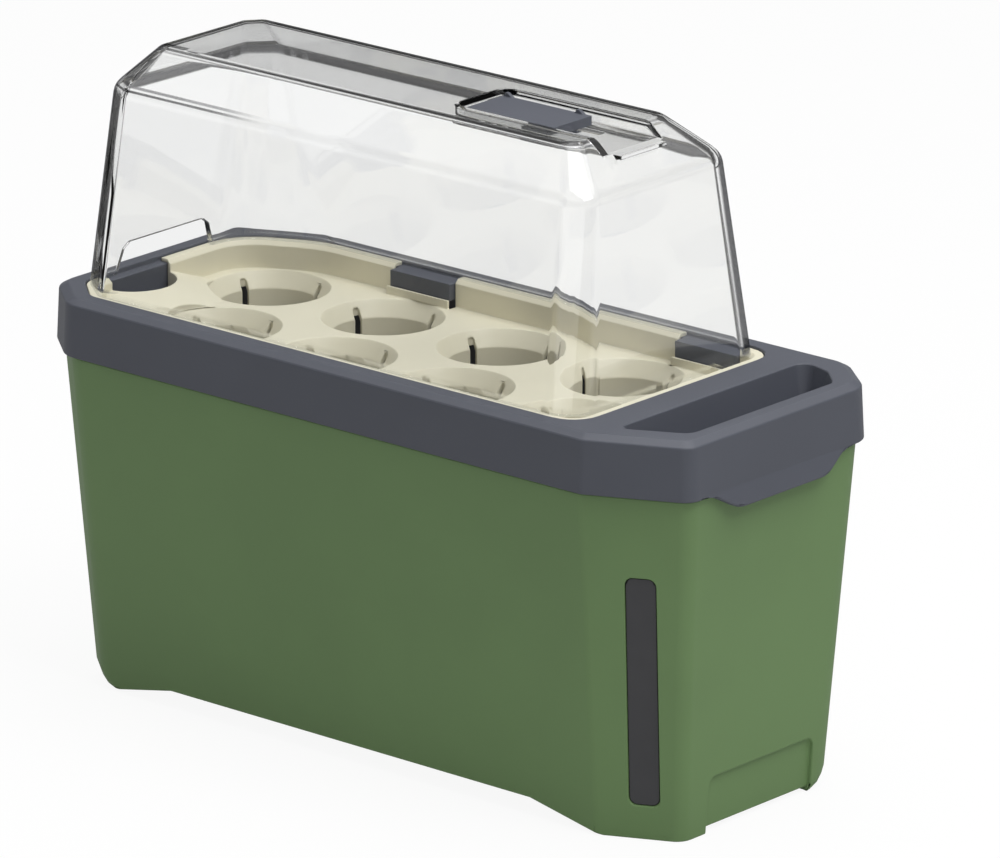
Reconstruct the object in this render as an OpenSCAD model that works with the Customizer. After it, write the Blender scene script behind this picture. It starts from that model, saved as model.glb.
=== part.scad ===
// Windowsill herb pot: water pot, hanging soil liner, seed tray and clear propagation dome.
// Millimetres, Z up, the foot on Z = 0, the fill pocket at the +X end.

/* [Pot and rim] */
// Length over the rim, at the foot of its skirt
rim_l = 400; // [360:1:440]
// Width over the rim, at the foot of its skirt
rim_w = 172; // [160:1:190]
// Length of the pot at its foot
foot_l = 371; // [340:1:390]
// Width of the pot at its foot
foot_w = 137; // [125:1:155]
// Height of the green body below the skirt
body_h = 171; // [150:1:200]
// Height of the rim's skirt
skirt_h = 28.3; // [24:0.1:36]
// How far the corner facets cut into the width at the rim
facet = 22.5; // [18:0.5:26]
// Wall of the pot
pot_wall = 2.6; // [2:0.1:3.2]
// Rise of the arch between the two feet
arch_h = 9; // [6:0.5:14]
// Height of the finger recess in each end face
recess_h = 28; // [20:1:36]

/* [Level window] */
// Width of the window opening
window_w = 15; // [11:0.5:18]
// Height of the window opening
window_h = 114.5; // [90:0.5:124]
// Height of the opening's lower edge above the foot
window_z = 17; // [15:0.5:22]
// Thickness of the window's flange
window_t = 1.8; // [1.4:0.1:2.4]
// Thickness of the seal
seal_t = 1; // [0.8:0.1:1.6]

/* [Liner] */
// Wall of the liner
liner_wall = 2.2; // [1.8:0.1:2.8]
// Depth of the soil basin below the rim top
basin_d = 138; // [115:1:145]
// Depth of the fill pocket
pocket_d = 34; // [24:1:44]
// Length of the rim that the fill pocket takes at the +X end
pocket_l = 62; // [56:1:70]
// Diameter of the fill hole
fill_d = 16; // [10:1:18]
// How far the grip hangs below the skirt
grip_drop = 10; // [6:0.5:12]
// How far the grip flares outward
grip_flare = 3; // [2:0.5:4]
// Width of a wick
wick_w = 22; // [16:1:28]
// Thickness of a wick
wick_t = 3; // [2:0.2:4]

/* [Seed tray] */
// Depth of the tray floor below its flange
tray_d = 14; // [11.5:0.5:16.5]
// Bore of a seed cup
cup_d = 50; // [44:1:51]
// Diameter of the funnel round a cup
funnel_d = 60; // [56:1:62]
// Length of a cup below the tray floor
cup_h = 30; // [22:1:36]
// Shift of the front row against the back row
row_shift = 24; // [18:1:26]

/* [Dome] */
// Height of the dome's walls up to the crease
crease_h = 100; // [80:0.5:125]
// Height from the crease to the flat top
crown_h = 19; // [15:0.5:24]
// Wall of the dome
dome_wall = 3.4; // [2:0.1:3.8]
// Inward lean of the long walls up to the crease
lean_y = 15.5; // [12:0.5:18]
// Inward step of the long sides from the crease to the top
crown_y = 20; // [16:0.5:22]

/* [Vent] */
// Length of the vent channel in the dome top
vent_l = 88; // [84:1:100]
// Width of the vent channel
vent_w = 38; // [36:1:44]
// Depth of the vent channel
vent_d = 7; // [6.5:0.5:10]
// Wall of the vent channel
vent_wall = 2; // [1.6:0.1:3]
// Length of the slider
slider_l = 54; // [50:1:64]
// Width of the slider
slider_w = 27; // [25:0.5:30]
// Travel of the slider
slider_travel = 18; // [12:1:20]

/* [Hidden] */
$fn = 48;
eps = 0.01;
// Clearances that several parts share
gap_rim = 0.7;
gap_seat = 0.5;
gap_slide = 0.4;
gap_lug = 0.6;
gap_window = 0.3;
// Slopes of the two kinds of corner facet, long and short
long_k = 0.47;
short_k = 0.815;
foot_facet = facet * 0.795;
foot_short = facet * 0.69;
corner_r = 9;
short_r = 16;
recess_t = 2;
recess_w = 76;
recess_y = 4;
arch_x = foot_l / 2 - 29;
arch_ramp = 43;
arch_turn = 5.9;
foot_end = foot_facet / long_k - 4;
// Shoulder under the skirt and the collar that stands inside it
shoulder_in = 2.7;
collar_in = 4.5;
shoulder_a = rim_l / 2 - shoulder_in;
shoulder_b = rim_w / 2 - shoulder_in;
// Heights
rim_z = body_h + gap_rim + skirt_h;
deck_t = 3;
deck_z = rim_z - deck_t;
bevel_h = 2.4;
bevel_in = 4.5;
flange_t = 2;
flange_z = rim_z - 1;
seat_z = flange_z - flange_t;
floor_z = flange_z - tray_d;
basin_z = rim_z - basin_d;
pot_floor_z = arch_h + pot_wall;
end_lean = atan((shoulder_a - foot_l / 2) / body_h);
// The part is centred on its bounding box, so the flared grip shifts it
shift_x = -grip_flare / 2;

// Outlines and points of convex polygons, counter-clockwise
function unit(v) = v / norm(v);
function side(p, i) = let (e = p[(i + 1) % len(p)] - p[i]) unit([e[1], -e[0]]);
function before(p, i) = side(p, (i + len(p) - 1) % len(p));
function mitre(n, m) = (n + m) / (1 + n * m);
function inset(p, d) = [for (i = [0:len(p) - 1]) p[i] - d * mitre(before(p, i), side(p, i))];
function heading(v) = atan2(v[1], v[0]);
function turn(n, m) = let (t = heading(m) - heading(n)) t < 0 ? t + 360 : t;
function arc(c, r, a, t, k) = [for (j = [0:k]) c + r * [cos(a + t * j / k), sin(a + t * j / k)]];
function rounded(p, r, k = 6) = [for (i = [0:len(p) - 1])
    let (n = before(p, i), m = side(p, i))
    each arc(p[i] - r[i] * mitre(n, m), r[i], heading(n), turn(n, m), k)];
function same(p, r) = [for (q = p) r];
function mix(a, b, t) = a + (b - a) * t;

// Plan of the pot and rim: long facets f at the +X front and the -X back, short ones g at the other two corners
function plan(a, b, f, g, cut = 0) = [
    [a - f / long_k, -b],
    [a, f - b],
    [a, b - g - cut],
    [a - g / short_k - cut, b],
    [f / long_k - a, b],
    [-a, b - f],
    [-a, g - b + cut],
    [g / short_k + cut - a, -b]];
function pot_plan(z, cut = 0) = let (t = z / body_h)
    plan(mix(foot_l / 2, shoulder_a, t), mix(foot_w / 2, shoulder_b, t),
        mix(foot_facet, facet, t), mix(foot_short, facet, t), cut);
// Corner radii of that plan when it is inset by d
function radii(d) = [for (i = [0:7]) (i % 4 < 2 ? corner_r : short_r) - d];
function hollow(p) = rounded(inset(p, pot_wall), radii(pot_wall));
// Height and depth of the rounding under the short facets
foot_round = [[0, 12], [1, 8.5], [3, 3.8], [6, 1.4], [10, 0]];
rim_foot = plan(rim_l / 2, rim_w / 2, facet, facet);
rim_top = inset(rim_foot, 1.2);
collar = plan(rim_l / 2 - collar_in, rim_w / 2 - collar_in, facet, facet);

// Plan of the seed tray
tray_x0 = 13 - rim_l / 2;
tray_x1 = rim_l / 2 - pocket_l;
tray_y = rim_w / 2 - 14;
tray_l = tray_x1 - tray_x0;
tray_plan = [
    [tray_x0 + 19, -tray_y],
    [tray_x1, -tray_y],
    [tray_x1, tray_y],
    [tray_x0 + 42, tray_y],
    [tray_x0, tray_y - 21],
    [tray_x0, 16.5 - tray_y]];
tray_r = [12, 14, 14, 60, 30, 12];
function tray_outline(d) = rounded(inset(tray_plan, d), [for (r = tray_r) max(r - d, 1)]);
wall_in = 4.5;
wall_t = 2;
wall_bevel = 2.2;
// Finger scoop in the -X end of the tray, and the rise that keeps the soil out of it
scoop_r = 21;
scoop_x = tray_x0 + 1;
scoop_y = -21.5;
scoop_rise = 8;
scoop_slope = 23;

// Seed cups: two rows of four, the front row shifted
cup_wall = 2;
funnel_t = 8;
cup_pitch = (tray_l - 30) / 4;
row_y = tray_y - 11.3 - funnel_d / 2;
cup_x = (tray_x0 + tray_x1) / 2 + 2.5;
cup_at = [for (row = [-1, 1], i = [-1.5:1:1.5]) [cup_x - row * row_shift / 2 + i * cup_pitch, row * row_y]];
slot_w = 3.6;

// Lugs of the liner that stand in notches of the tray's back wall
lug_l = 38.3;
lug_out = 10;
lug_at = [tray_x1 - 36.5, tray_x1 - 36.5 - 0.5435 * tray_l];
// Sill of the tray's floor in front of a lug
sill_z = floor_z + 4.2;
sill_w = 1.5;

// Level window, up the middle of the long facet at the +X front
facet_turn = atan(long_k);
facet_from = pot_plan(0)[0];
facet_n = [sin(facet_turn), -cos(facet_turn)];
facet_lean = atan((pot_plan(body_h)[0] - facet_from) * facet_n / body_h);
facet_wall = pot_wall * cos(facet_lean);
function along_facet(p) = (p - facet_from) * [cos(facet_turn), sin(facet_turn)];
window_x = along_facet(pot_plan(0)[1]) * 0.56;
window_end_x = mix(along_facet(pot_plan(body_h)[0]), along_facet(pot_plan(body_h)[1]), 0.53);
window_lean = atan((window_end_x - window_x) / body_h);
window_lap = 2.4;
window_top = window_z + window_h;
lap_w = window_w + 2 * window_lap;
window_r = 4;
lap_r = window_r + 1;
window_sunk = 0.9;

// Fill pocket at the +X end
pocket_x0 = tray_x1 + 19;
pocket_x1 = rim_l / 2 - 12;
pocket_plan = [
    [pocket_x0, 20 - rim_w / 2],
    [pocket_x1, 36 - rim_w / 2],
    [pocket_x1, rim_w / 2 - 33],
    [pocket_x1 - 13, rim_w / 2 - 21],
    [pocket_x0, rim_w / 2 - 16]];
pocket_r = [4, 8, 8, 8, 6];
function pocket_outline(d) = rounded(inset(pocket_plan, d), [for (r = pocket_r) max(r - d, 1)]);
pocket_in = 8.5;

// Grip: full depth inside grip_y0, nothing beyond grip_y1
grip_t = 2.4;
grip_lean = asin((grip_flare + grip_t) / norm([grip_t, grip_drop])) - atan(grip_t / grip_drop);
grip_y0 = 28;
grip_y1 = 53;
function ease(t) = t * t * (3 - 2 * t);
function grip_edge(y) = grip_drop * ease(min(1, max(0, (grip_y1 - y) / (grip_y1 - grip_y0))));

// Wicks through the floor of the basin
wick_at = [tray_x0 + tray_l * 0.3, tray_x0 + tray_l * 0.7];
wick_head = 34;
wick_z = pot_floor_z + 4;
basin_lip = wall_in - gap_seat;
basin_in = 16;

// Dome
dome_z = flange_z;
crease_z = dome_z + crease_h;
crown_z = crease_z + crown_h;
dome_y = tray_y - 2;
crease_y = dome_y - lean_y;
crown_top_y = crease_y - crown_y;
dome_base = [
    [tray_x0 + 21.5, -dome_y],
    [tray_x1 - 4, -dome_y],
    [tray_x1 - 4, dome_y],
    [tray_x0 + 43, dome_y],
    [tray_x0 + 2, dome_y - 20],
    [tray_x0 + 2, 14.5 - dome_y]];
dome_crease = [
    [tray_x0 + 25, -crease_y],
    [tray_x1 - 12, -crease_y],
    [tray_x1 - 12, crease_y],
    [tray_x0 + 26, crease_y],
    [tray_x0 + 14, crease_y - 12],
    [tray_x0 + 12, 6.9 - crease_y]];
dome_top = [
    [tray_x0 + 32, -crown_top_y],
    [tray_x1 - 34, -crown_top_y],
    [tray_x1 - 34, crown_top_y],
    [tray_x0 + 35.5, crown_top_y],
    [tray_x0 + 29, crown_top_y - 8.5],
    [tray_x0 + 29, 3.5 - crown_top_y]];
base_r = [8, 18, 18, tray_r[3] - 2, tray_r[4] - 2, 8];
crease_r = [6, 14, 14, 6, 6, 6];
top_r = [4, 9, 9, 4, 4, 4];
arch_w = 62;
arch_rise = 15.7;
arch_y = -3.5;
// How far the roundings of the crease and of the top edge reach to each side, the top edge's out and inside
crease_bend = 4;
top_bend = 2;
top_bend_in = 3;
bend_steps = [0, 0.3, 0.5, 0.7, 1];

// Vent
vent_x1 = tray_x1 - 34;
vent_x0 = vent_x1 - vent_l;
vent_z = crown_z - vent_d;
vent_ramp = 3;
vent_r = 8;
lip_out = 5;
lip_w = vent_w - 5;
slider_x0 = vent_x0 + vent_ramp + 1;
slider_z = vent_z + gap_slide;
slider_h = vent_d - 2.4;
stem_l = 12;
stem_w = 4;
stem_x = slider_x0 + slider_l * 0.76;
stem_y = slider_w / 2 - 6;
clip_t = 2.6;
clip_top = vent_z - vent_wall - gap_slide;
guide_w = stem_w + 2 * gap_slide;

// Drawing helpers
module slab(p, z0, z1)
    translate([0, 0, z0])
        linear_extrude(z1 - z0)
            polygon(p);

// A shell's solid between two outlines at two heights
module loft(p, z0, q, z1)
    hull() {
        slab(p, z0, z0 + eps);
        slab(q, z1 - eps, z1);
    }

module centred()
    translate([shift_x, 0, 0])
        children();

// Frame on the facet: x along it from the crease, y inward, z up its surface
module on_facet()
    translate([facet_from[0], facet_from[1], 0])
        rotate([0, 0, facet_turn])
            rotate([facet_lean, 0, 0])
                children();

// Upright plate with rounded corners, centred on x, from depth y0 to y1
module window_plate(w, z0, z1, r, y0, y1)
    translate([0, y1, 0])
        rotate([90, 0, 0])
            linear_extrude(y1 - y0)
                polygon(rounded([[-w / 2, z0], [w / 2, z0], [w / 2, z1], [-w / 2, z1]], [r, r, r, r], 8));

module at_window()
    on_facet()
        translate([window_x, 0, 0])
            rotate([0, window_lean, 0])
                children();

// Pot
module pot_body()
    hull() {
        for (f = foot_round)
            slab(rounded(pot_plan(f[0], f[1]), radii(0)), f[0], f[0] + eps);
        slab(rounded(pot_plan(body_h), radii(0)), body_h - eps, body_h);
    }

// The arch runs askew, from one short facet to the other
module pot_arch()
    rotate([90, 0, -arch_turn])
        linear_extrude(2 * rim_w, center = true)
            polygon([[-arch_x, -1], [-arch_x, 0], [arch_ramp - arch_x, arch_h],
                [arch_x - arch_ramp, arch_h], [arch_x, 0], [arch_x, -1]]);

// Panel of the finger recess in the +X end face, grown by d, from the depth t outward
module recess_panel(d, t)
    translate([foot_l / 2, recess_y, 0])
        rotate([0, end_lean, 0])
            rotate([90, 0, 90])
                translate([0, 0, -t])
                    linear_extrude(30)
                        polygon(rounded([[-recess_w / 2 - d, -3], [recess_w / 2 + d, -3],
                            [recess_w / 2 + d, recess_h + d], [-recess_w / 2 - d, recess_h + d]],
                            [1, 1, 5, 5]));

// Both finger recesses, and the gap under their lower edges
module end_recesses()
    for (a = [0, 180])
        rotate([0, 0, a]) {
            recess_panel(0, recess_t);
            translate([foot_l / 2 - 15, recess_y - recess_w / 2, -1])
                cube([40, recess_w, 3.5]);
        }

// Water space: the pot's hollow less the wall behind each finger recess
module pot_hollow()
    difference() {
        loft(hollow(pot_plan(pot_floor_z)), pot_floor_z,
            hollow(pot_plan(body_h - pot_wall)), body_h - pot_wall);
        for (a = [0, 180])
            rotate([0, 0, a])
                recess_panel(pot_wall, recess_t + pot_wall);
    }

// Hollow of one foot, open below
module foot_core()
    difference() {
        slab(inset(pot_plan(0, 12), 6.5), -1, arch_h - 2);
        translate([-foot_l / 2 + foot_end, -rim_w, -2])
            cube([foot_l - 2 * foot_end, 2 * rim_w, arch_h + 4]);
    }

module outer_pot()
    color([0.33, 0.43, 0.28])
        centred()
            difference() {
                union() {
                    pot_body();
                    slab(rounded(collar, radii(0)), body_h - 1, deck_z);
                }
                pot_hollow();
                slab(hollow(collar), body_h - pot_wall - 1, rim_z);
                pot_arch();
                end_recesses();
                foot_core();
                at_window()
                    window_plate(window_w, window_z, window_top, window_r, -5, facet_wall + 5);
            }

module level_window()
    color([0.2, 0.2, 0.21])
        centred()
            at_window() {
                window_plate(window_w - 2 * gap_window, window_z + gap_window, window_top - gap_window,
                    window_r - gap_window, window_sunk, facet_wall + seal_t + 0.1);
                window_plate(lap_w, window_z - window_lap, window_top + window_lap, lap_r,
                    facet_wall + seal_t, facet_wall + seal_t + window_t);
            }

module window_seal()
    color([0.1, 0.1, 0.1])
        centred()
            at_window()
                difference() {
                    window_plate(lap_w, window_z - window_lap, window_top + window_lap, lap_r,
                        facet_wall, facet_wall + seal_t);
                    window_plate(window_w, window_z, window_top, window_r,
                        facet_wall - 1, facet_wall + seal_t + 1);
                }

// Liner
// Basin's solid inset by d from the outside, from the height z up: upright beside the tray, then tapering
module basin(d, z) {
    slab(tray_outline(basin_lip + d - liner_wall), floor_z - 4 - eps, seat_z + (d > 0 ? 1 : 0));
    loft(tray_outline(basin_in + d), z, tray_outline(basin_lip + d - liner_wall), floor_z - 4);
}

module pocket_shell()
    loft(pocket_outline(pocket_in - liner_wall), rim_z - pocket_d - liner_wall,
        pocket_outline(-liner_wall), deck_z + 1);

// Flared lip under the +X end of the skirt, its lower edge curving down from both ends
module grip()
    translate([rim_l / 2 - grip_t, 0, body_h + gap_rim])
        rotate([0, -grip_lean, 0])
            rotate([90, 0, 90])
                linear_extrude(grip_t)
                    polygon([[-grip_y1, 1.5],
                        for (i = [-20:20])
                            let (y = grip_y1 * i / 20)
                                [y, -grip_edge(abs(y))],
                        [grip_y1, 1.5]]);

module lug(x)
    translate([x - lug_l / 2, tray_y - lug_out, sill_z - 1])
        cube([lug_l, lug_out + 1.5, flange_z - sill_z + 0.5]);

module wick_slot(x)
    translate([x - wick_w / 2 - gap_seat, -wick_t / 2 - gap_seat, basin_z - 1])
        cube([wick_w + 2 * gap_seat, wick_t + 2 * gap_seat, 8]);

module liner()
    color([0.3, 0.31, 0.35])
        centred()
            difference() {
                union() {
                    difference() {
                        union() {
                            loft(rounded(rim_foot, radii(0)), body_h + gap_rim,
                                rounded(rim_top, radii(0)), rim_z - bevel_h);
                            loft(rounded(rim_top, radii(0)), rim_z - bevel_h - eps,
                                rounded(inset(rim_top, bevel_in), radii(bevel_in)), rim_z);
                        }
                        slab(rounded(inset(rim_foot, 3.4), radii(3.4)), body_h, deck_z);
                    }
                    slab(tray_outline(-gap_seat - liner_wall), seat_z - liner_wall, deck_z + 1);
                    basin(0, basin_z);
                    pocket_shell();
                    grip();
                }
                slab(tray_outline(-gap_seat), seat_z, rim_z + 1);
                difference() {
                    basin(liner_wall, basin_z + liner_wall);
                    for (x = lug_at)
                        lug(x);
                }
                loft(pocket_outline(pocket_in), rim_z - pocket_d, pocket_outline(0), rim_z + eps);
                translate([(pocket_x0 + pocket_x1) / 2, 0, rim_z - pocket_d - 10])
                    cylinder(d = fill_d, h = 20);
                for (x = wick_at)
                    wick_slot(x);
            }

module wick(x) {
    translate([x - wick_w / 2, -wick_t / 2, wick_z])
        cube([wick_w, wick_t, basin_z + liner_wall + 1 - wick_z]);
    translate([x - wick_w / 2, -wick_head / 2, basin_z + liner_wall])
        cube([wick_w, wick_head, wick_t]);
}

module wick_left()
    color([0.8, 0.78, 0.72])
        centred()
            wick(wick_at[0]);

module wick_right()
    color([0.8, 0.78, 0.72])
        centred()
            wick(wick_at[1]);

// Seed tray
module cup_body(p)
    translate([p[0], p[1], 0]) {
        translate([0, 0, floor_z - cup_h])
            cylinder(d = cup_d + 2 * cup_wall, h = cup_h - 1);
        translate([0, 0, floor_z - funnel_t - cup_wall])
            cylinder(d1 = cup_d + 2 * cup_wall, d2 = funnel_d + 2 * cup_wall, h = funnel_t + 1);
    }

module cup_bore(p)
    translate([p[0], p[1], 0]) {
        translate([0, 0, floor_z - cup_h - 1])
            cylinder(d = cup_d, h = cup_h + 2);
        translate([0, 0, floor_z - funnel_t])
            cylinder(d1 = cup_d, d2 = funnel_d + 0.2, h = funnel_t + 0.2);
        for (k = [0:3])
            rotate([0, 0, 70 + 90 * k])
                translate([cup_d / 2 - 2, 0, floor_z - 3 - slot_w / 2]) {
                    translate([0, -slot_w / 2, 9 + slot_w / 2 - cup_h])
                        cube([cup_wall + 3.4, slot_w, cup_h - 9 - slot_w / 2]);
                    rotate([0, 90, 0])
                        cylinder(d = slot_w, h = cup_wall + 3.4);
                }
    }

module notch(x)
    translate([x - lug_l / 2 - gap_lug, tray_y - lug_out - gap_lug, floor_z - 5])
        cube([lug_l + 2 * gap_lug, lug_out + 20, tray_d + 10]);

module sill(x)
    translate([x - lug_l / 2 - gap_lug, tray_y - lug_out - gap_lug - sill_w, floor_z - 1])
        cube([lug_l + 2 * gap_lug, sill_w, sill_z - floor_z + 1]);

module scoop_ramp()
    difference() {
        intersection() {
            slab(tray_outline(wall_in + 0.5), floor_z - 1, flange_z - 1);
            translate([scoop_x, scoop_y, floor_z])
                cylinder(r1 = scoop_r + scoop_slope, r2 = scoop_r + 1, h = scoop_rise);
        }
        for (p = cup_at)
            translate([p[0], p[1], floor_z - 1])
                cylinder(d = funnel_d + 0.2, h = scoop_rise + 2);
    }

module seed_tray()
    color([0.84, 0.82, 0.73])
        centred()
            difference() {
                union() {
                    difference() {
                        union() {
                            slab(tray_outline(0), seat_z, flange_z);
                            slab(tray_outline(wall_in), floor_z - wall_t, flange_z - 0.5);
                        }
                        slab(tray_outline(wall_in + wall_t), floor_z, flange_z + 1);
                        loft(tray_outline(wall_in + wall_t), flange_z - wall_bevel,
                            tray_outline(wall_in + wall_t - wall_bevel), flange_z + eps);
                    }
                    for (p = cup_at)
                        cup_body(p);
                    for (x = lug_at)
                        sill(x);
                    scoop_ramp();
                }
                for (p = cup_at)
                    cup_bore(p);
                for (x = lug_at)
                    notch(x);
                translate([scoop_x, scoop_y, floor_z - 5])
                    cylinder(r = scoop_r, h = tray_d + 10);
            }

// Dome
// A ring is an outline, its corner radii and its height; d is the inset of the shell's inside
function ring(p, r, z, d) = [p, [for (q = r) max(q - d, 1)], z];
function between(a, b, t) = [for (i = [0:2]) mix(a[i], b[i], t)];
function bend(a, b, c, t) = between(between(a, b, t), between(b, c, t), t);
function dome_foot(d) = ring(inset(dome_base, d), base_r, dome_z + (d > 0 ? -1 : eps), d);
function dome_fold(d) = ring(inset(dome_crease, d), crease_r, crease_z - d / 2, d);
function dome_edge(d) = ring(inset(dome_top, d * 0.6), top_r, crown_z - d, d);
function top_reach(d) = d > 0 ? top_bend_in : top_bend;
function dome_lid(d) = ring(inset(dome_top, d * 0.6 + top_reach(d)), top_r, crown_z - d, d + top_reach(d));
function dome_rings(d) = let (low = dome_foot(d), fold = dome_fold(d), edge = dome_edge(d), lid = dome_lid(d),
        rise = norm([crown_h, crown_y]))
    [low,
        for (t = bend_steps)
            bend(between(fold, low, crease_bend / crease_h), fold, between(fold, edge, crease_bend / rise), t),
        for (t = bend_steps)
            bend(between(edge, fold, top_reach(d) / rise), edge, lid, t)];

module dome_solid(d)
    hull()
        for (q = dome_rings(d))
            slab(rounded(q[0], q[1], 10), q[2] - eps, q[2]);

// The channel's hollow grown by d, from the height z up; its -X wall slopes and its +X end is open
module vent_trough(d, z)
    intersection() {
        rotate([90, 0, 0])
            linear_extrude(vent_w + 2 * d, center = true)
                polygon([[vent_x0 - d + vent_ramp, z], [vent_x1 + 60, z], [vent_x1 + 60, crown_z + 5],
                    [vent_x0 - d, crown_z + 5], [vent_x0 - d, crown_z]]);
        slab(rounded([[vent_x0 - d, -vent_w / 2 - d], [vent_x1 + 61, -vent_w / 2 - d],
            [vent_x1 + 61, vent_w / 2 + d], [vent_x0 - d, vent_w / 2 + d]], [vent_r + d, 1, 1, vent_r + d]),
            z - 1, crown_z + 6);
    }

// Lip of the channel's floor that stands out of the sloping end
lip_x = mix(dome_top[1][0], dome_crease[1][0], vent_d / crown_h) + lip_out;
module vent_lip()
    translate([vent_x1 - 4, -lip_w / 2, vent_z - vent_wall])
        cube([lip_x - vent_x1 + 4, lip_w, vent_wall]);

module guide(y)
    translate([stem_x - stem_l / 2 - gap_slide, y - guide_w / 2, vent_z - 10])
        cube([stem_l + slider_travel + 2 * gap_slide, guide_w, 20]);

// Arched cut-out at the foot of the -X end wall
module end_arch()
    translate([tray_x0 - 10, arch_y, dome_z])
        rotate([90, 0, 90])
            linear_extrude(30)
                polygon([[-arch_w / 2 - 4, -2], [arch_w / 2 + 4, -2],
                    [arch_w / 2 - 1, arch_rise - 3], [arch_w / 2 - 5, arch_rise],
                    [5 - arch_w / 2, arch_rise], [1 - arch_w / 2, arch_rise - 3]]);

module dome()
    color([0.85, 0.87, 0.88, 0.35])
        centred()
            difference() {
                union() {
                    difference() {
                        dome_solid(0);
                        dome_solid(dome_wall);
                    }
                    intersection() {
                        dome_solid(0);
                        vent_trough(vent_wall, vent_z - vent_wall);
                    }
                    vent_lip();
                }
                vent_trough(0, vent_z);
                guide(stem_y);
                guide(-stem_y);
                for (i = [0:2])
                    translate([slider_x0 + 6 + 7 * i, -5, vent_z - 10])
                        cube([4, 10, 20]);
                end_arch();
            }

// Vent
// Pointed ear on the slider's back edge
module slider_ear(x)
    translate([x, slider_w / 2, slider_z + slider_h - 1])
        rotate([90, 0, 0])
            linear_extrude(2)
                polygon([[0, 0], [8, 0], [3.5, 3], [2, 3]]);

module vent_slider()
    color([0.3, 0.31, 0.35])
        centred() {
            difference() {
                translate([slider_x0, -slider_w / 2, slider_z])
                    cube([slider_l, slider_w, slider_h]);
                translate([slider_x0 + 2, -slider_w / 2 + 2, slider_z + slider_h - 2 - 20])
                    cube([slider_l - 4, slider_w - 4, 20]);
            }
            slider_ear(slider_x0);
            slider_ear(slider_x0 + slider_l - 10);
            for (y = [-stem_y, stem_y])
                translate([stem_x - stem_l / 2, y - stem_w / 2, clip_top - clip_t])
                    cube([stem_l, stem_w, slider_z + slider_h - 1 - clip_top + clip_t]);
        }

module vent_clip(y)
    translate([stem_x, y, clip_top - clip_t])
        difference() {
            translate([-stem_l / 2 - 2, -stem_w / 2 - 2.5, 0])
                cube([stem_l + 4, stem_w + 5, clip_t]);
            translate([-stem_l / 2, -stem_w / 2, -1])
                cube([stem_l, stem_w, clip_t + 2]);
        }

module vent_clip_front()
    color([0.3, 0.31, 0.35])
        centred()
            vent_clip(-stem_y);

module vent_clip_back()
    color([0.3, 0.31, 0.35])
        centred()
            vent_clip(stem_y);

outer_pot();
level_window();
window_seal();
liner();
wick_left();
wick_right();
seed_tray();
dome();
vent_slider();
vent_clip_front();
vent_clip_back();
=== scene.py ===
"""Looks of a windowsill herb pot with a propagation dome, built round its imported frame. Metres, Z up."""

import math

import bpy
from mathutils import Matrix, Vector

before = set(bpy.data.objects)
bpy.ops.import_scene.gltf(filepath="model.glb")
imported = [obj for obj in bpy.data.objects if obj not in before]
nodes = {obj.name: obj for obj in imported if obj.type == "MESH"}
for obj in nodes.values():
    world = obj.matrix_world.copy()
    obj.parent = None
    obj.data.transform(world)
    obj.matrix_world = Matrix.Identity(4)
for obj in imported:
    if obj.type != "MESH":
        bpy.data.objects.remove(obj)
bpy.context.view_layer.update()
MM = 0.001

# Camera: where the photograph was taken from, round the pot's own axis
VIEW_TURN = math.radians(41.0)
VIEW_TILT = math.radians(17.77)
VIEW_DISTANCE = 4.5889
VIEW_LENS = 346.93
VIEW_ANCHOR = Vector((-1.5, 0, 100)) * MM
VIEW_RIGHT = 21.8 * MM
VIEW_UP = 48.1 * MM

# Light: what the world gives to matt surfaces, level and from overhead, and how bright the studio's dark
# walls look in the clear dome, with the heights where they start and end, as the rise of a line of sight
AMBIENT = 0.095
OVERHEAD = 0.62
DARK_WALLS = 0.08
WALLS_START = (0.02, 0.2)
WALLS_END = (0.42, 0.7)

# Floor: its half width, the share that stays plain white to the eye, its tone to the eye, its tone for the
# light it throws back, how much of its white a reflection loses, and how far off it gets as dark as the walls
FLOOR_REACH = 14.0
FLOOR_WHITE = 0.92
FLOOR_SEEN = 0.9
FLOOR_BOUNCE = 0.8
FLOOR_DIMMED = 0.6
FLOOR_FADES = (1.6, 2.4)

# Finishes, as linear colours
GREEN = (0.141, 0.237, 0.0925)
SLATE = (0.082, 0.088, 0.109)
CREAM = (0.75, 0.71, 0.56)
SMOKE = (0.047, 0.047, 0.051)
RUBBER = (0.012, 0.012, 0.013)
FELT = (0.5, 0.47, 0.4)
MOTTLE = 0.05
CLEAR_BODY = (0.99, 0.993, 0.992)
CLEAR_LIT = (0.975, 0.98, 0.98)
CLEAR_DEPTH = (0.5, 0.51, 0.5)
# Painted dark tone: the dome's sheet takes it where it should show dark reflections and refractions
PAINTED_CLEAR_DARK = (0.33, 0.33, 0.34)

# Clear dome: places on it, in its own frame, each as the start and the end of a soft change. They set where
# the painted dark tone and the plain clear foot fall. Heights first
FOOT_ENDS = (200 * MM, 203 * MM)
BANDS_START = (200.5 * MM, 205 * MM)
FOLD_STARTS = (292.5 * MM, 293.5 * MM)
FOLD_ENDS = (297.5 * MM, 298.5 * MM)
CREASE_STARTS = (298.3 * MM, 298.7 * MM)
CREASE_ENDS = (299.3 * MM, 299.7 * MM)
# Along the dome, from its left end
END_FOLD = (-150 * MM, -146 * MM)
LEFT_CORNER = (-144 * MM, -138 * MM)
CREASE_FADES = (-110 * MM, -70 * MM)
RIGHT_CORNER = (100 * MM, 106 * MM)
BACK_FOLD_ENDS = (108 * MM, 114 * MM)
# Across the dome, from its front
FRONT_SIDE = (-47 * MM, -43 * MM)
END_FOLD_STARTS = (-42 * MM, -36 * MM)
FRONT_CORNER = (-30 * MM, -24 * MM)
BACK_SIDE = (18 * MM, 24 * MM)
BACK_CORNER = (30 * MM, 36 * MM)
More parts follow.
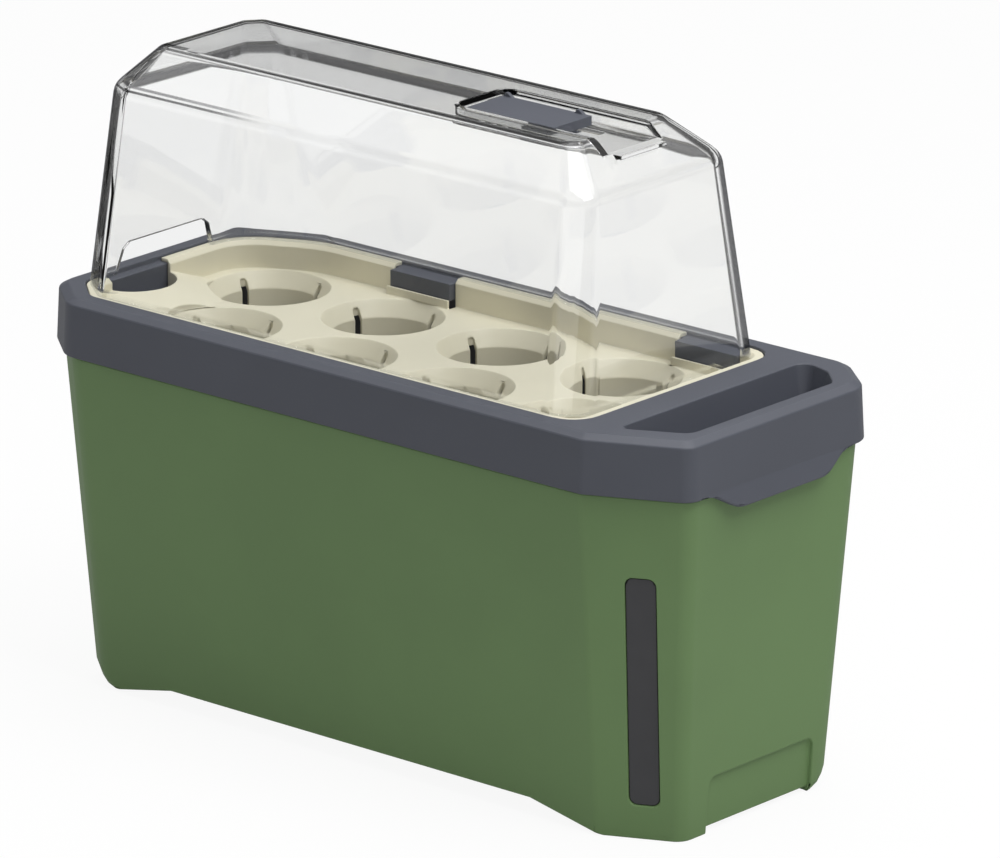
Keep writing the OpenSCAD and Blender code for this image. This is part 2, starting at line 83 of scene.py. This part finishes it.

# Clear dome: how far from facing the eye a wall takes the painted dark tone, what level faces lose of that,
# what the two corners gain, the shares of the painted dark tone in each place, and the share of the plain
# clear tone at the foot. The painted dark tone stands in for the dark reflections and refractions in the
# sheet
EDGE_ON = (0.54, 0.68)
LEVEL_LOSS = 0.6
FRONT_CORNER_GAIN = 0.5
BACK_CORNER_GAIN = 0.16
PAINTED_EDGE_SHARE = 0.92
PAINTED_FOLD_SHARE = 0.7
PAINTED_CREASE_SHARE = 0.85
FOOT_SHARE = 0.85

# Rounding of the edges: what counts as one corner before and after it, and what counts as a sharp edge
WELD_BEFORE = 0.03 * MM
WELD_AFTER = 0.04 * MM
SHARP_ANGLE = math.radians(28.0)


class Wire:
    """One output of a material's nodes. Sums of wires and numbers become Math nodes."""

    def __init__(self, tree, socket=None):
        self.tree = tree
        self.socket = socket

    def make(self, kind, settings, inputs, output=0):
        """A new node: its settings first, then its inputs, by name or by number."""
        node = self.tree.nodes.new("ShaderNode" + kind)
        for name, value in settings.items():
            setattr(node, name, value)
        for name, value in inputs.items():
            if isinstance(value, Wire):
                self.tree.links.new(value.socket, node.inputs[name])
            else:
                node.inputs[name].default_value = value
        return Wire(self.tree, node.outputs[output])

    def maths(self, operation, first, second):
        return self.make("Math", {"operation": operation}, {0: first, 1: second})

    def __add__(self, other):
        return self.maths("ADD", self, other)

    def __radd__(self, other):
        return self.maths("ADD", other, self)

    def __sub__(self, other):
        return self.maths("SUBTRACT", self, other)

    def __rsub__(self, other):
        return self.maths("SUBTRACT", other, self)

    def __mul__(self, other):
        return self.maths("MULTIPLY", self, other)

    def __rmul__(self, other):
        return self.maths("MULTIPLY", other, self)

    def at_most(self, limit):
        return self.maths("MINIMUM", self, limit)

    def at_least(self, limit):
        return self.maths("MAXIMUM", self, limit)

    def parts(self, vector):
        """The three numbers of a vector."""
        split = self.make("SeparateXYZ", {}, {0: vector}).socket.node
        return [Wire(self.tree, split.outputs[axis]) for axis in "XYZ"]

    def step(self, low, high):
        """0 below low and 1 above high, with a smooth rise between."""
        inputs = {"Value": self, "From Min": low, "From Max": high}
        return self.make("MapRange", {"interpolation_type": "SMOOTHSTEP"}, inputs)

    def fall(self, low, high):
        """1 below low and 0 above high, with a smooth fall between."""
        return 1.0 - self.step(low, high)

    def tint(self, first, second):
        """The first colour where this is 0, the second where it is 1."""
        return self.make("Mix", {"data_type": "RGBA"}, {0: self, 6: first, 7: second}, 2)

    def noise(self, place, scale, detail=2.0, rough=0.5):
        inputs = {"Vector": place, "Scale": scale, "Detail": detail, "Roughness": rough}
        return self.make("TexNoise", {}, inputs)


def solid(colour):
    return (*colour, 1.0)


def shade(colour, by):
    return tuple(min(1.0, c * by) for c in colour)


def new_finish(name):
    """A bare material: its wire maker and its output node."""
    material = bpy.data.materials.new(name)
    material.use_nodes = True
    tree = material.node_tree
    tree.nodes.clear()
    return material, Wire(tree), tree.nodes.new("ShaderNodeOutputMaterial")


def finish_with(wire, output, surface, volume=None):
    wire.tree.links.new(surface.socket, output.inputs["Surface"])
    if volume:
        wire.tree.links.new(volume.socket, output.inputs["Volume"])


def ray_flags(wire):
    """Three flags, each 1 for what the eye sees: straight, through the clear dome, and as a reflection."""
    path = wire.make("LightPath", {}, {}).socket.node
    names = ("Is Camera Ray", "Is Transmission Ray", "Is Glossy Ray")
    straight, through, glossy = [Wire(wire.tree, path.outputs[name]) for name in names]
    return straight, through, glossy * (1.0 - through)


def moulded(name, colour, roughness, grain, grain_height):
    """Injection-moulded plastic with a fine eroded grain, faint flow mottling and uneven sheen."""
    material, wire, output = new_finish(name)
    place = wire.make("TexCoord", {}, {}, "Object")
    flow = wire.noise(place, 9.0, 3.0, 0.55)
    fine = wire.noise(place, grain, 2.0, 0.6)
    coarse = wire.noise(place, grain * 0.31, 1.0)
    height = fine * 0.65 + coarse * 0.35
    bump = wire.make("Bump", {}, {"Strength": 1.0, "Distance": grain_height, "Height": height})
    tone = flow.step(0.3, 0.7) * 0.8 + fine * 0.2
    skin = tone.tint(solid(shade(colour, 1 - MOTTLE)), solid(shade(colour, 1 + MOTTLE)))
    inputs = {
        "Base Color": skin,
        "Roughness": roughness + (fine - 0.5) * 0.12 + (flow - 0.5) * 0.1,
        "Normal": bump,
        "IOR": 1.48,
        "Specular IOR Level": 0.45,
    }
    finish_with(wire, output, wire.make("BsdfPrincipled", {}, inputs))
    return material


def painted_dark_marks(wire, place):
    """Where the dome's sheet takes a painted dark tone, 0 to 1, in place of its dark reflections and
    refractions:
    where it is seen edge-on, in the far folds of its crown, and in its near crease towards the left end."""
    x, y, z = wire.parts(place)
    level = wire.parts(wire.make("TexCoord", {}, {}, "Normal"))[2]
    mirrored = ray_flags(wire)[2]
    # Painted dark where the sheet is seen edge-on, standing in for the dark walls it reflects and refracts
    front_left = x.fall(*LEFT_CORNER) * y.fall(*FRONT_CORNER)
    back_right = x.step(*RIGHT_CORNER) * y.step(*BACK_CORNER)
    turned = wire.make("LayerWeight", {}, {"Blend": 0.5}, "Facing") + back_right * BACK_CORNER_GAIN
    turned = turned - level * level * (LEVEL_LOSS - front_left * FRONT_CORNER_GAIN)
    painted_edge_dark = turned.step(*EDGE_ON) * (1.0 - mirrored) * z.step(*BANDS_START) * PAINTED_EDGE_SHARE

    # Painted dark band along the far folds of the crown, standing in for dark inner reflection there
    back_fold = y.step(*BACK_SIDE) * x.fall(*BACK_FOLD_ENDS)
    end_fold = x.fall(*END_FOLD) * y.step(*END_FOLD_STARTS)
    painted_fold_dark = z.step(*FOLD_STARTS) * z.fall(*FOLD_ENDS) * (back_fold + end_fold).at_most(1.0) * PAINTED_FOLD_SHARE

    # Painted dark line along the near crease towards the left end
    near = y.fall(*FRONT_SIDE) * x.fall(*CREASE_FADES)
    crease = z.step(*CREASE_STARTS) * z.fall(*CREASE_ENDS) * near * PAINTED_CREASE_SHARE
    return painted_edge_dark.at_least(painted_fold_dark.at_least(crease))


def clear_plastic(name):
    """Clear polystyrene with faint smears, and a painted dark tone where it should show dark reflections and
    refractions. It lets lamps through to what it covers, and its foot hardly shows on the tray."""
    material, wire, output = new_finish(name)
    place = wire.make("TexCoord", {}, {}, "Object")
    smear = wire.noise(place, 14.0, 3.0, 0.6).step(0.45, 0.8)
    inputs = {
        "Base Color": solid(CLEAR_BODY),
        "Roughness": smear * 0.006,
        "IOR": 1.49,
        "Transmission Weight": 1.0,
    }
    glass = wire.make("BsdfPrincipled", {}, inputs)
    # Painted dark tone, mixed into the glass where the painted dark marks fall
    dark = wire.make("BsdfTransparent", {}, {"Color": solid(PAINTED_CLEAR_DARK)})
    glass = wire.make("MixShader", {}, {0: painted_dark_marks(wire, place), 1: glass, 2: dark})
    clear = wire.make("BsdfTransparent", {}, {"Color": solid(CLEAR_LIT)})
    path = wire.make("LightPath", {}, {}).socket.node
    unseen = Wire(wire.tree, path.outputs["Is Shadow Ray"]) + Wire(wire.tree, path.outputs["Is Diffuse Ray"])
    foot = wire.parts(place)[2].fall(*FOOT_ENDS) * FOOT_SHARE
    surface = wire.make("MixShader", {}, {0: (unseen + foot).at_most(1.0), 1: glass, 2: clear})
    inside = wire.make("VolumeAbsorption", {}, {"Color": solid(CLEAR_DEPTH), "Density": 13.0})
    finish_with(wire, output, surface, inside)
    return material


def smoked_plastic(name):
    """Smoked clear strip: nearly black, glossy, with faint brushed wiping marks."""
    material, wire, output = new_finish(name)
    place = wire.make("TexCoord", {}, {}, "Object")
    wiped = wire.noise(place, 60.0, 2.0)
    inputs = {
        "Base Color": wiped.tint(solid(shade(SMOKE, 0.9)), solid(shade(SMOKE, 1.15))),
        "Roughness": 0.12 + wiped * 0.1,
        "IOR": 1.5,
    }
    finish_with(wire, output, wire.make("BsdfPrincipled", {}, inputs))
    return material


def rubber(name):
    """Black seal rubber with a chalky bloom."""
    material, wire, output = new_finish(name)
    place = wire.make("TexCoord", {}, {}, "Object")
    bloom = wire.noise(place, 400.0, 3.0)
    inputs = {
        "Base Color": bloom.tint(solid(RUBBER), solid(shade(RUBBER, 2.2))),
        "Roughness": 0.7 + bloom * 0.2,
    }
    finish_with(wire, output, wire.make("BsdfPrincipled", {}, inputs))
    return material


def felt(name):
    """Pressed wick felt: matted fibres in two layers of noise."""
    material, wire, output = new_finish(name)
    place = wire.make("TexCoord", {}, {}, "Object")
    fibre = wire.noise(place, 1300.0, 4.0, 0.7)
    clump = wire.noise(place, 180.0, 2.0)
    height = fibre * 0.6 + clump * 0.4
    bump = wire.make("Bump", {}, {"Strength": 1.0, "Distance": 0.6 * MM, "Height": height})
    inputs = {
        "Base Color": height.tint(solid(shade(FELT, 0.75)), solid(shade(FELT, 1.15))),
        "Roughness": 0.95,
        "Normal": bump,
        "Sheen Weight": 0.3,
    }
    finish_with(wire, output, wire.make("BsdfPrincipled", {}, inputs))
    return material


def soften(node, width, segments=3, evening="FACE_AREA", alike=5e-6):
    """Rounds the moulding's edges: welds the split corners, bevels, welds what the bevel left double, then
    shades broad faces flat, with the kind of evening and how alike faces have to be."""
    piece = nodes[node]
    weld = piece.modifiers.new("weld", "WELD")
    weld.merge_threshold = WELD_BEFORE
    edge = piece.modifiers.new("edge", "BEVEL")
    edge.width = width
    edge.segments = segments
    edge.limit_method = "ANGLE"
    edge.angle_limit = SHARP_ANGLE
    edge.use_clamp_overlap = False
    again = piece.modifiers.new("again", "WELD")
    again.merge_threshold = WELD_AFTER
    even = piece.modifiers.new("even", "WEIGHTED_NORMAL")
    even.mode = evening
    even.weight = 100
    even.thresh = alike


def dress(node, material):
    piece = nodes[node]
    piece.data.materials.clear()
    piece.data.materials.append(material)
    for polygon in piece.data.polygons:
        polygon.use_smooth = True


def make_camera():
    right = Vector((math.cos(VIEW_TURN), math.sin(VIEW_TURN), 0))
    level = math.cos(VIEW_TILT)
    ahead = Vector((-math.sin(VIEW_TURN) * level, math.cos(VIEW_TURN) * level, -math.sin(VIEW_TILT)))
    up = right.cross(ahead)
    data = bpy.data.cameras.new("photo_view")
    data.lens = VIEW_LENS
    data.sensor_width = 36.0
    data.clip_start = 0.1
    data.clip_end = 60.0
    camera = bpy.data.objects.new("photo_view", data)
    bpy.context.scene.collection.objects.link(camera)
    axes = Matrix((right, up, -ahead)).transposed().to_4x4()
    axes.translation = VIEW_ANCHOR + right * VIEW_RIGHT + up * VIEW_UP - ahead * VIEW_DISTANCE
    camera.matrix_world = axes
    bpy.context.scene.camera = camera


def make_lamp(name, place, aim, size, watts):
    data = bpy.data.lights.new(name, "AREA")
    data.shape = "RECTANGLE"
    data.size, data.size_y = size
    data.energy = watts
    lamp = bpy.data.objects.new(name, data)
    bpy.context.scene.collection.objects.link(lamp)
    lamp.location = place
    lamp.rotation_euler = (Vector(aim) - Vector(place)).to_track_quat("-Z", "Y").to_euler()
    lamp.visible_camera = False


def make_world():
    world = bpy.data.worlds.new("studio")
    world.use_nodes = True
    tree = world.node_tree
    tree.nodes.clear()
    wire = Wire(tree)
    straight, through, mirrored = ray_flags(wire)
    way = wire.make("TexCoord", {}, {}, "Generated")
    height = wire.parts(way)[2]
    matt = height.step(0.0, 1.0) * OVERHEAD + AMBIENT
    walls = height.step(*WALLS_START) * height.fall(*WALLS_END)
    studio = 1.0 - walls * (1.0 - DARK_WALLS)
    seen = through + mirrored
    strength = straight + seen * studio + (1.0 - straight - seen) * matt
    sky = wire.make("Background", {}, {"Color": solid((1, 1, 1)), "Strength": strength})
    output = tree.nodes.new("ShaderNodeOutputWorld")
    tree.links.new(sky.socket, output.inputs["Surface"])
    bpy.context.scene.world = world


def make_floor():
    mesh = bpy.data.meshes.new("floor")
    corners = [(x * FLOOR_REACH, y * FLOOR_REACH, 0) for x, y in ((-1, -1), (1, -1), (1, 1), (-1, 1))]
    mesh.from_pydata(corners, [], [(0, 1, 2, 3)])
    floor = bpy.data.objects.new("floor", mesh)
    bpy.context.scene.collection.objects.link(floor)
    material, wire, output = new_finish("pale_floor")
    straight, through, mirrored = ray_flags(wire)
    seen = straight + through + mirrored
    tone = seen.tint(solid([FLOOR_BOUNCE] * 3), solid([FLOOR_SEEN] * 3))
    paint = wire.make("BsdfDiffuse", {}, {"Color": tone})
    place = wire.make("TexCoord", {}, {}, "Object")
    reach_out = wire.make("VectorMath", {"operation": "LENGTH"}, {0: place}, "Value")
    far_off = (through + mirrored) * reach_out.step(*FLOOR_FADES)
    glow = far_off.at_least(mirrored * FLOOR_DIMMED).tint(solid((1, 1, 1)), solid([DARK_WALLS] * 3))
    white = wire.make("Emission", {}, {"Color": glow, "Strength": 1.0})
    finish_with(wire, output, wire.make("MixShader", {}, {0: seen * FLOOR_WHITE, 1: paint, 2: white}))
    mesh.materials.append(material)


make_camera()
make_world()
make_floor()
make_lamp("top_softbox", place=(0.1, 0.25, 1.7), aim=(0, 0, 0.2), size=(1.6, 1.2), watts=11.5)
make_lamp("right_softbox", place=(1.15, -0.05, 1.7), aim=(0, 0, 0.15), size=(1.0, 1.0), watts=16)

bpy.context.scene.view_settings.view_transform = "Standard"

green = moulded("green_plastic", GREEN, roughness=0.55, grain=1500.0, grain_height=0.05 * MM)
slate = moulded("slate_plastic", SLATE, roughness=0.5, grain=1500.0, grain_height=0.03 * MM)
cream = moulded("cream_plastic", CREAM, roughness=0.42, grain=1100.0, grain_height=0.03 * MM)
dress("outer_pot", green)
dress("liner", slate)
dress("seed_tray", cream)
dress("dome", clear_plastic("clear_plastic"))
dress("vent_slider", slate)
dress("vent_clip_front", slate)
dress("vent_clip_back", slate)
dress("level_window", smoked_plastic("smoked_plastic"))
dress("window_seal", rubber("seal_rubber"))
wick = felt("wick_felt")
dress("wick_left", wick)
dress("wick_right", wick)

soften("outer_pot", 0.9 * MM)
soften("liner", 0.7 * MM)
soften("seed_tray", 0.5 * MM, 2)
soften("dome", 0.5 * MM, evening="FACE_AREA_WITH_ANGLE", alike=5e-5)
soften("vent_slider", 0.4 * MM)
soften("vent_clip_front", 0.3 * MM)
soften("vent_clip_back", 0.3 * MM)
soften("level_window", 0.3 * MM)
